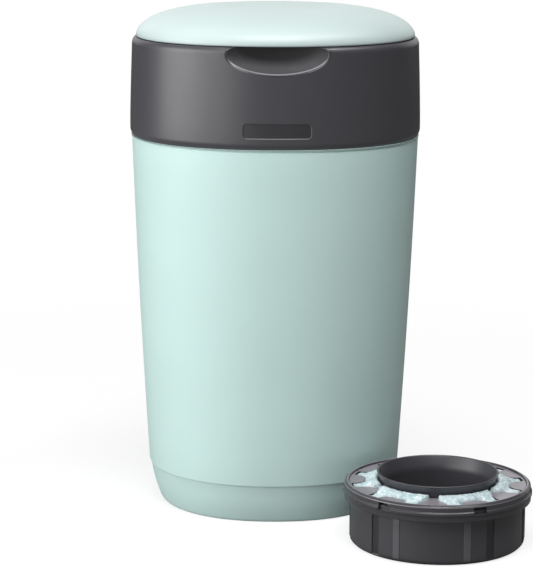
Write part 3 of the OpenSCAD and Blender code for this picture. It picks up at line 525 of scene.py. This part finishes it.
def cover_grid():
    profile = subdivide(soften([
        (75.1, tub_h + 0.2, 0.2), (76.9, tub_h + 0.2, 0.4), (76.9, tub_h + 4.6, 0.3),
        (77.8, tub_h + 5.2, 0.4), (77.8, tub_h + 7.4, 0.4), (76.6, tub_h + 8.2, 0.4),
        (76.6, cover_top - 1.6, 0.8), (74.8, cover_top - 0.3, 0.8), (74.0, cover_top, 0.5),
        (73.0, cover_top - 0.5, 0.4), (72.6, plate_top, 0.4), (47.8, plate_top, 0.3),
        (47.8, plate_low, 0.2), (72.6, plate_low, 0.2), (75.1, plate_low - 0.1, 0.2)],
        closed=True), 6.0)
    return turned(profile, np.linspace(0, 2 * math.pi, 240, endpoint=False))

print("cover plate from", plate_low, "to", plate_top, "mm")

# %% Windows and snap slots
HALF_WINDOW = [(21.5, 53.5, 2), (21.5, 61, 2), (20, 66, 2), (19.5, 71.3, 1),
               (10.5, 71.3, 1), (9.8, 65, 2.5), (6, 60, 3)]
WINDOW = [(-21.5, 53.5, 2)] + HALF_WINDOW + [(-a, r, c) for a, r, c in HALF_WINDOW[:0:-1]]
MID_R = 62
SNAP = ((73.5, -5.8), (80, -5.8), (80, 5.8), (73.5, 5.8))

def window_outline(centre):
    """One window; its angles are unrolled at MID_R, so that its corners are rounded in mm."""
    flat = soften([(math.radians(a) * MID_R, r, c) for a, r, c in WINDOW], closed=True)
    fine = subdivide(np.vstack([flat, flat[:1]]), 1.0)[:-1]
    return [(r * math.cos(s / MID_R + centre), r * math.sin(s / MID_R + centre)) for s, r in fine]

def cover_cutters(at, turn):
    """Prisms for the six windows and the six slots of the snaps."""
    cutters = []
    for i in range(BAYS):
        centre = math.radians((i + 0.5) * BAY)
        c, s = math.cos(centre), math.sin(centre)
        slot = [(c * r - s * w, s * r + c * w) for r, w in SNAP]
        for name, plan, low, high in (
                ("cut_window", window_outline(centre), plate_low - 1, plate_top + 1),
                ("cut_snap", slot, tub_h + 5.4, tub_h + 11.2)):
            flat = place(np.array([(x, y, 0) for x, y in plan]), at, turn)
            cutters.append(prism(name, [tuple(p[:2]) for p in flat], at[2] + low, at[2] + high))
    return cutters

print("window outline:", len(window_outline(0.0)), "points")

# %% [markdown]
# ## Film
# Real refill film is a long thin sleeve, packed in pleats, and it bulges up through the windows. A
# cloth simulation of some metres of it would take hours. What shows is a crumpled heap between the
# cover's edges, so the pack's flat top is lifted inside each window and crumpled by a sum of folded
# waves. The waves are drawn from a seeded generator, so every run gives the same folds.

# %% Film grid
PLEATS, FLAT_ROWS, WAVES = 12, 41, 26

def film_rows(top):
    """Section of the pack as (radius, height, 1 on the top): up outside, across, down inside."""
    low, outside, inside = 1.6, 70.1, 47.5
    climb = [low + (top - 1 - low) * i / (2 * PLEATS) for i in range(2 * PLEATS + 1)]
    rows = [(outside - (0 if i % 2 else 1.2), climb[i], 0) for i in range(2 * PLEATS)]
    for k in range(FLAT_ROWS):
        t = k / (FLAT_ROWS - 1)
        rows.append((outside - 0.6 + (inside + 0.6 - outside) * t, top, 1))
    rows += [(inside + (0 if i % 2 else 1.2), climb[i], 0) for i in range(2 * PLEATS, -1, -1)]
    return np.array(rows)

def crumpled(r, a):
    """Height of the folds at radius r and angle a, around zero."""
    rng = np.random.default_rng(5)
    height = np.zeros((len(r), a.shape[1]))
    for _ in range(WAVES):
        around, across = rng.integers(10, 90), rng.uniform(-1.1, 1.1)
        wave = np.abs(np.sin(around * a + across * r + rng.uniform(0, 6.3)))
        height += wave * rng.uniform(0.05, 0.16) * 18 / (12 + around * 0.35)
    return height - height.mean()

def film_grid():
    cols = np.linspace(0, 2 * math.pi, 720, endpoint=False)
    rows = film_rows(plate_low - 0.5)
    grid = turned(rows[:, :2], cols)
    r, on_top, a = rows[:, 0][:, None], rows[:, 2][:, None], cols[None, :]
    folds = crumpled(r, a)
    turn = np.abs((np.degrees(a) % BAY) - BAY / 2)
    half = np.interp(r, [47, 55, 61, 66, 72], [27.0, 26.0, 21.0, 19.6, 19.3])
    tab = np.clip((10.6 - turn) / 0.8, 0, 1) * np.clip((r - 59.2) / 0.8, 0, 1)
    in_window = (np.clip((half - turn) / 1.4, 0, 1) * np.clip((r - 47.8) / 1.5, 0, 1)
                 * np.clip((71.2 - r) / 1.2, 0, 1) * (1 - tab))
    heap = np.interp(r, [47.6, 51, 56, 60, 64, 69, 72], [3.6, 5.6, 5.2, 3.2, 1.9, 1.5, 0.4])
    under_cover = np.minimum(folds * 0.3 - 0.3, 0.2)
    grid[..., 2] += on_top * (in_window * (heap + folds) + (1 - in_window) * under_cover)
    return grid

print("film:", PLEATS, "pleats,", WAVES, "waves of folds")

# %% [markdown]
# ## Both cassettes
# The bin holds one cassette on its turning ring, under the lid, and the spare stands on the floor.
# They come from the same mould. A linked copy would save memory, but each has to ride on its own
# body and replace its own packed pieces, so the same function builds both.

# %% Cassette builder
def cassette(prefix, body, at, turn):
    """Tub, collar, cover and film of one cassette, at its place and turn."""
    shape, rib_light_channel_shade = tub_grid()
    skins = {}
    for piece, stands_for, grid, sharp in (
            ("tub", "_tub", shape, 32), ("collar", "_core", collar_grid(), 32),
            ("cover", "_cover", cover_grid(), 32), ("film", "_film", film_grid(), 70)):
        skins[piece] = grid_object(prefix + "_" + piece + "_skin", place(grid, at, turn), body,
                                   [prefix + stands_for], closed_rows=True, sharp=sharp)
    # A number per point for the finish: painted light on the ribs, painted shade in the channels
    kept = skins["tub"].data.attributes.new("rib_light_channel_shade", "FLOAT", "POINT")
    kept.data.foreach_set("value", rib_light_channel_shade.ravel().astype(np.float32))
    cutters = cover_cutters(at, turn)
    for skin in skins.values():
        outwards(skin)
    carve(skins["cover"], cutters)

SPARE_TURN = math.radians(-98.3)
cassette("spare", "spare", spare_at, SPARE_TURN)
cassette("cassette", "ring", installed_at, 0.0)

# %% [markdown]
# ## Shader arithmetic
# A finish is easier to read as a formula than as a picture of nodes. A thin class wraps a socket, and
# Python's operators add a Math node each; the reflected ones make 1 - mask work too. Numbers alone
# stay Python numbers. Every other node comes from one method, which takes its type, its settings and
# its sockets.

# %% Value and Nodes
class Value:
    """A socket that can be calculated with."""
    def __init__(self, nodes, socket):
        self.nodes, self.socket = nodes, socket
    def math(self, operation, a, b=0.0):
        return self.nodes.node("ShaderNodeMath", {"operation": operation}, {0: a, 1: b})
    def __add__(self, other): return self.math("ADD", self, other)
    def __radd__(self, other): return self.math("ADD", other, self)
    def __sub__(self, other): return self.math("SUBTRACT", self, other)
    def __rsub__(self, other): return self.math("SUBTRACT", other, self)
    def __mul__(self, other): return self.math("MULTIPLY", self, other)
    def __rmul__(self, other): return self.math("MULTIPLY", other, self)
    def __truediv__(self, other): return self.math("DIVIDE", self, other)
    def __rtruediv__(self, other): return self.math("DIVIDE", other, self)
    def __pow__(self, other): return self.math("POWER", self, other)
    def __rpow__(self, other): return self.math("POWER", other, self)
    def __neg__(self): return self.math("MULTIPLY", self, -1.0)
    def __abs__(self): return self.math("ABSOLUTE", self)
    def most(self, other): return self.math("MAXIMUM", self, other)
    def clamp(self): return self.nodes.node("ShaderNodeClamp", {}, {0: self})

class Nodes:
    """The node tree of a material or of the world."""
    def __init__(self, owner):
        owner.use_nodes = True
        self.owner, self.tree = owner, owner.node_tree
    def fill(self, made, inputs):
        """Sets or links sockets of a node."""
        for key, value in inputs.items():
            if isinstance(value, Value):
                self.tree.links.new(value.socket, made.inputs[key])
            else:
                made.inputs[key].default_value = value
    def node(self, kind, settings, inputs, output=0):
        made = self.tree.nodes.new(kind)
        for key, value in settings.items():
            setattr(made, key, value)
        self.fill(made, inputs)
        return Value(self, made.outputs[output])
    def mix(self, factor, a, b):
        """A colour between a and b."""
        return self.node("ShaderNodeMix", {"data_type": "RGBA"}, {0: factor, 6: a, 7: b}, 2)

print("reflected operators:", [name for name in vars(Value) if name.startswith("__r")])

# %% Finish
class Finish(Nodes):
    """A material with a Principled shader and the object's own coordinates."""
    def __init__(self, name):
        super().__init__(bpy.data.materials.new(name))
        self.shader = self.tree.nodes["Principled BSDF"]
        self.where = self.node("ShaderNodeTexCoord", {}, {}, "Object")
    def set(self, **sockets):
        self.fill(self.shader, {key.replace("_", " "): value for key, value in sockets.items()})
    def show(self, shader):
        """Sends another shader to the output."""
        self.fill(self.tree.nodes["Material Output"], {"Surface": shader})
    def noise(self, size_mm, detail=2.0, rough=0.5):
        return self.node("ShaderNodeTexNoise", {}, {
            "Vector": self.where, "Scale": 1 / MM / size_mm, "Detail": detail, "Roughness": rough})
    def axes(self):
        """The three coordinates in mm."""
        split = self.node("ShaderNodeSeparateXYZ", {}, {0: self.where}).socket.node
        return [Value(self, split.outputs[k]) * (1 / MM) for k in range(3)]
    def bump(self, height, strength, distance_mm):
        return self.node("ShaderNodeBump", {}, {
            "Height": height, "Strength": strength, "Distance": distance_mm * MM})

def colour(r, g, b):
    """A colour as a picture gives it, 0 to 255, turned into the linear values that Blender mixes."""
    linear = [c / 12.92 if c <= 0.04045 else ((c + 0.055) / 1.055) ** 2.4
              for c in (r / 255, g / 255, b / 255)]
    return tuple(linear) + (1.0,)

def shade(c, k):
    return tuple(min(1.0, v * k) for v in c[:3]) + (1.0,)

print("mid grey 128 is", round(colour(128, 128, 128)[0], 3), "in linear light")

# %% [markdown]
# ## Marks on single places
# Some places of a moulding are coloured apart from the rest. The pressed recess is darker. The rest is
# painted light and shade: painted shade inside the scoop and a painted highlight on its lower lip,
# painted shadow lines round the scoop and where band and bucket meet, painted light on the tub's ribs
# and painted shade in its channels, and a painted sheen on the plate of its cover with a painted
# highlight on its rim. They could be painted as a texture, but formulas on the object's own
# coordinates stay sharp at any size and move with the piece. Each mark is a mask, a colour, and how
# much rougher the place is.

# %% Marks on bucket and band
def between(value, low, high, soft=0.3):
    """1 between two levels, 0 outside, with soft ends."""
    middle, half = (low + high) / 2, (high - low) / 2
    return (0.5 + (half - abs(value - middle)) / soft).clamp()

def lip_painted_shadow(f):
    """A thin painted shadow line where the lip meets the band."""
    z = f.axes()[2]
    return [(between(z, bucket_top - 0.7, bucket_top - 0.15, 0.15) * 0.9, colour(70, 80, 78), 0)]

def band_recess_and_painted_light(f):
    """Dark recess; painted shade in the dish, a painted highlight on its lower lip, a painted shadow
    line round it.
    """
    x, y, z = f.axes()
    in_front = between(y, -140, FRONT_Y)
    # Plate recess, a rounded bar
    qx = abs(x) - (plate_w / 2 - plate_r)
    qz = abs(z - plate_z) - (plate_h / 2 - plate_r)
    inside = plate_r - (qx.most(0.0) * qx.most(0.0) + qz.most(0.0) * qz.most(0.0)) ** 0.5
    recess = (inside / 0.5).clamp() * in_front
    # Distance from the scoop's edge, positive inside it
    u, w = x / scoop_half, (z - scoop_z) / scoop_drop
    across, down = u / scoop_half, w / scoop_drop
    slope = (across * across + down * down) ** 0.5 * 2 + 0.001
    away = (1 - u * u - w * w) / slope
    low_half = ((rim_z - 8.5 - z) / 4).clamp()
    return [(recess, colour(48, 47, 50), 0),
            # Painted shade inside the dish, which is also made rougher
            (((away - 0.5) / 0.8).clamp() * in_front, colour(38, 37, 41), 0.32),
            # Painted highlight on the dish's lower lip
            (between(away, 0.1, 0.9, 0.5) * in_front * low_half, colour(140, 137, 146), 0),
            # Painted shadow line round the dish's edge
            (between(away, -0.9, 0.0, 0.5) * in_front * 0.85, colour(24, 23, 26), 0)]

print("marks on the bucket's lip and on the band's face")

# %% Marks on the cassettes
def tub_painted_light_and_shade(f):
    """Painted light on the ribs and painted shade in the channels, from the number kept on the mesh.
    """
    rib_light_channel_shade = f.node("ShaderNodeAttribute", {"attribute_name": "rib_light_channel_shade"}, {}, "Fac")
    return [(rib_light_channel_shade.clamp(), colour(88, 86, 91), 0), ((-rib_light_channel_shade).clamp(), colour(36, 35, 38), 0)]

def cover_painted_sheen(f):
    """Painted sheen on the plate and painted highlight on the rim, at the spare's and the installed
    cover's levels.
    """
    z = f.axes()[2]
    feet = (0.0, installed_at[2])
    plate_sheen = [between(z, at + plate_top - 0.3, at + plate_top + 0.3, 0.2) for at in feet]
    rim_highlight = [between(z, at + cover_top - 0.25, at + cover_top + 0.5, 0.2) for at in feet]
    return [((plate_sheen[0] + plate_sheen[1]).clamp(), colour(132, 128, 134), 0),
            ((rim_highlight[0] + rim_highlight[1]).clamp() * 0.7, colour(150, 147, 152), 0)]

print("cover marks at", plate_top, "and", cover_top, "mm above each cassette's foot")

# %% [markdown]
# ## Moulded plastic
# Satin polypropylene is nearly even in colour. One flat colour would look like a drawing, so the
# colour clouds by 3 percent over some 60 mm, the roughness by a little over 9 mm, and a bump of
# 0.05 mm gives the fine grain of a spark-eroded mould. One function makes all the plastics.

# %% Plastic
GRAIN_DEEP = 0.05

def plastic(name, base, rough, grain_mm, grain, cloud=0.03, ior=1.47, marks=None):
    """Satin plastic; grain is how strongly the mould's texture shows."""
    f = Finish(name)
    cloudiness = f.noise(60, 2.0)
    paint = f.mix(cloudiness, shade(base, 1 - cloud), shade(base, 1 + cloud))
    rougher = f.noise(9, 2.0) * 0.08 + (rough - 0.04)
    for mask, mark, more in (marks(f) if marks else []):
        paint = f.mix(mask, paint, mark)
        if more:
            rougher = rougher + mask * more
    f.set(Base_Color=paint, Roughness=rougher, IOR=ior)
    f.set(Normal=f.bump(f.noise(grain_mm, 3.0, 0.6), grain, GRAIN_DEEP))
    print("plastic", name, "with", len(f.tree.nodes), "nodes")
    return f.owner

# %% [markdown]
# ## Film and steel
# The film is thin, pale and creased. Real translucency would need light to pass through many layers,
# which is slow and hardly shows at this size. So the light and shade of its folds are painted: a pale
# lit colour and a darker shaded one mixed by a noise, painted shadow in thin creases where a second
# noise crosses its middle, and a stronger bump. The steel of pins, screws, springs and blade is plain:
# a metallic shader with slightly uneven roughness.

# %% Film and steel finishes
def film_finish(name):
    f = Finish(name)
    # Painted light and shade of the folds, and painted shadow in the creases
    fold_light_and_shade = ((f.noise(6.5, 3.0, 0.6) - 0.5) * 2.8 + 0.6).clamp()
    crease_shade = (1 - abs(f.noise(2.6, 3.0, 0.65) - 0.5) * 16).clamp() * 0.6
    paint = f.mix(fold_light_and_shade, colour(164, 192, 197), colour(226, 236, 239))
    f.set(Base_Color=f.mix(crease_shade, paint, colour(104, 136, 143)), Roughness=0.30)
    f.set(Normal=f.bump(f.noise(2.2, 4.0, 0.7), 0.9, 0.4))
    return f.owner

def metal(name):
    f = Finish(name)
    uneven = 0.28 + f.noise(2, 2.0) * 0.08
    f.set(Base_Color=colour(200, 202, 205), Metallic=1.0, Roughness=uneven)
    print("metal", name, "with", len(f.tree.nodes), "nodes")
    return f.owner

# %% [markdown]
# ## Which piece gets which finish
# Each packed piece names its material slot, so the finishes are kept under those names. The band's
# face gets a finish of its own, because its marks are placed by coordinates, and other pieces of the
# same plastic cross those coordinates.

# %% Finishes by slot
CHARCOAL = dict(base=colour(68, 67, 72), rough=0.40, grain_mm=0.5, grain=0.12, ior=1.74)
plastics = {
    "bucket_mint": dict(base=colour(209, 238, 233), rough=0.45, grain_mm=0.9, grain=0.08,
                        marks=lip_painted_shadow),
    "lid_mint": dict(base=colour(194, 210, 208), rough=0.42, grain_mm=0.9, grain=0.08),
    "band_charcoal": CHARCOAL,
    "deck_grey": dict(base=colour(98, 98, 101), rough=0.50, grain_mm=0.6, grain=0.25),
    "ring_mint": dict(base=colour(200, 228, 221), rough=0.42, grain_mm=0.9, grain=0.08),
    "seal_rubber": dict(base=colour(48, 48, 50), rough=0.70, grain_mm=0.5, grain=0.30),
    "cassette_charcoal": dict(base=colour(62, 60, 65), rough=0.38, grain_mm=0.6, grain=0.12,
                              ior=1.6, marks=tub_painted_light_and_shade),
    "cover_grey": dict(base=colour(66, 64, 68), rough=0.26, grain_mm=0.6, grain=0.08,
                       marks=cover_painted_sheen),
}
finish_of = {name: plastic(name, **values) for name, values in plastics.items()}
finish_of["bright_steel"] = metal("bright_steel")
finish_of["film_mint"] = film_finish("film_mint")
print("finishes:", sorted(finish_of))

# %% Finishes on every piece
for node, obj in frame["nodes"].items():
    obj.data.materials.clear()
    obj.data.materials.append(finish_of[SLOT_OF[node]])
    smooth(obj.data, 30)
    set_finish(obj, SLOT_OF[node])
skins = [o for o in bpy.context.scene.objects if o.type == "MESH" and o.get("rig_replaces")]
for obj in skins:
    obj.data.materials.clear()
    obj.data.materials.append(finish_of[obj["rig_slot"]])
head_skin.data.materials[0] = plastic("band_face", marks=band_recess_and_painted_light, **CHARCOAL)
print("finished", len(frame["nodes"]), "packed pieces and", len(skins), "skins")

# %% [markdown]
# ## Floor and world
# The photo is a studio picture on white, with hardly a shadow. White could come from stronger lamps,
# but they would wash the object out. Light Path's Is Camera Ray lets the camera see a white floor and
# world, while all other rays meet a darker floor and a dim world, so the mint isn't lit from below.
# The floor still takes the object's soft shadow, and turns into pure white further out.

# %% Floor
WHITE = (1, 1, 1, 1)
FLOOR_GREY, WORLD_GREY = (0.25, 0.25, 0.25, 1), (0.06, 0.06, 0.06, 1)

def stage_sheet(name, corners):
    """A single face that belongs to the studio, not to the object."""
    mesh = bpy.data.meshes.new(name)
    mesh.from_pydata(corners, [], [(0, 1, 2, 3)])
    sheet = linked(name, mesh)
    sheet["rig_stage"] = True
    return sheet

floor = stage_sheet("floor", [(-8, -8, 0), (8, -8, 0), (8, 8, 0), (-8, 8, 0)])
white = Finish("floor_white")
seen = white.node("ShaderNodeLightPath", {}, {}, "Is Camera Ray")
white.set(Base_Color=white.mix(seen, FLOOR_GREY, WHITE), Roughness=0.9, Specular_IOR_Level=0.0)
apart = white.node("ShaderNodeVectorMath", {"operation": "LENGTH"}, {0: white.where}, "Value")
far = white.node("ShaderNodeMapRange", {"interpolation_type": "SMOOTHSTEP"},
                 {0: apart, 1: 0.35, 2: 1.0, 3: 0.8, 4: 1.0})
glow = white.node("ShaderNodeEmission", {}, {})
lit = Value(white, white.shader.outputs[0])
white.show(white.node("ShaderNodeMixShader", {}, {0: far * seen, 1: lit, 2: glow}))
floor.data.materials.append(white.owner)
print("floor glows from 0.8 near the object to 1.0 at 1 m")

# %% World
sky = Nodes(bpy.data.worlds.new("studio"))
bpy.context.scene.world = sky.owner
seen = sky.node("ShaderNodeLightPath", {}, {}, "Is Camera Ray")
shown = sky.mix(seen, WORLD_GREY, WHITE)
sky.fill(sky.tree.nodes["Background"], {"Color": shown, "Strength": 1.0})
print("world grey for all but camera rays:", WORLD_GREY[0])

# %% [markdown]
# ## Lamps
# The band's bright streak and the bucket's soft fall-off show two tall softboxes at the left, near
# each other, a high one in front and a weak high one at the right. Guessing such a set takes many
# renders. Light adds up, so one render for each lamp alone was enough to work out the four powers
# that come nearest to the photo.

# %% Lamps
def around(azimuth, distance, height):
    """A place round the bin: azimuth 0 is in front, negative is to the left."""
    a = math.radians(azimuth)
    return (distance * math.sin(a), -distance * math.cos(a), height)

def lamp(name, spot, target_z, size, size_y, watts):
    data = bpy.data.lights.new(name, "AREA")
    data.shape, data.size, data.size_y, data.energy = "RECTANGLE", size, size_y, watts
    obj = linked(name, data)
    obj.location = spot
    aim = Vector((0, 0, target_z)) - Vector(spot)
    obj.rotation_euler = aim.to_track_quat("-Z", "Y").to_euler()

lamp("key_left", around(-74, 2.4, 1.0), 1.0, 1.8, 2.0, 43)
lamp("left_front", around(-38, 2.4, 1.0), 1.0, 1.1, 2.0, 14)
lamp("front_high", around(0, 1.3, 3.0), 0.22, 1.2, 1.2, 72)
lamp("right_high", around(70, 1.3, 3.0), 0.22, 1.0, 1.0, 25)
print("lamps:", len(bpy.data.lights))

# %% [markdown]
# ## White panel behind
# The flat plate of the spare's cover shows a pale sheen, which is the white backdrop seen at a low
# angle. A real backdrop would block other views from behind, so this panel is there for glossy rays
# only, and clear for all others.

# %% White panel
left, right, back, foot_z, top_z = -1.8, 2.6, 2.2, 0.42, 1.7
panel = stage_sheet("panel", [(left, back, foot_z), (right, back, foot_z),
                              (right, back, top_z), (left, back, top_z)])
paper = Finish("panel_white")
seen = paper.node("ShaderNodeLightPath", {}, {}, "Is Glossy Ray")
glow = paper.node("ShaderNodeEmission", {}, {})
clear = paper.node("ShaderNodeBsdfTransparent", {}, {})
paper.show(paper.node("ShaderNodeMixShader", {}, {0: seen, 1: clear, 2: glow}))
panel.data.materials.append(paper.owner)
print("panel", round(right - left, 2), "m wide,", back, "m behind the bin")

# %% [markdown]
# ## Camera
# A camera could be nudged until the render looks right. Here its place, tilt and lens were solved
# from the bin's edges in the photo. The bin stands turned by 0.9 degrees in the photo, while the part
# is square to its frame, so the camera orbits by that angle instead.

# %% Camera
cam_data = bpy.data.cameras.new("camera")
cam_data.lens, cam_data.sensor_width = 145.9, 36.0
cam_data.clip_start, cam_data.clip_end = 0.05, 30
camera = linked("camera", cam_data)
orbit = math.radians(-0.9)
pitch, yaw, roll = 0.1925, -0.0032 - orbit, -0.004
ahead = Vector((math.sin(yaw) * math.cos(pitch), math.cos(yaw) * math.cos(pitch),
                -math.sin(pitch)))
level = ahead.cross(Vector((0, 0, 1))).normalized()
above = level.cross(ahead)
across = level * math.cos(roll) - above * math.sin(roll)
upright = level * math.sin(roll) + above * math.cos(roll)
unturned = Vector((-0.0004, -2.0, 0.5739))
spot = Matrix.Rotation(orbit, 3, "Z") @ unturned
camera.matrix_world = Matrix((
    (across.x, upright.x, -ahead.x, spot.x),
    (across.y, upright.y, -ahead.y, spot.y),
    (across.z, upright.z, -ahead.z, spot.z),
    (0, 0, 0, 1)))
bpy.context.scene.camera = camera
bpy.context.scene.view_settings.view_transform = "Standard"
print("camera at", [round(v, 4) for v in spot], "m")

# %% Sizes
low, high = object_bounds()
print("shown size mm", [round((h - l) / MM, 1) for l, h in zip(low, high)])
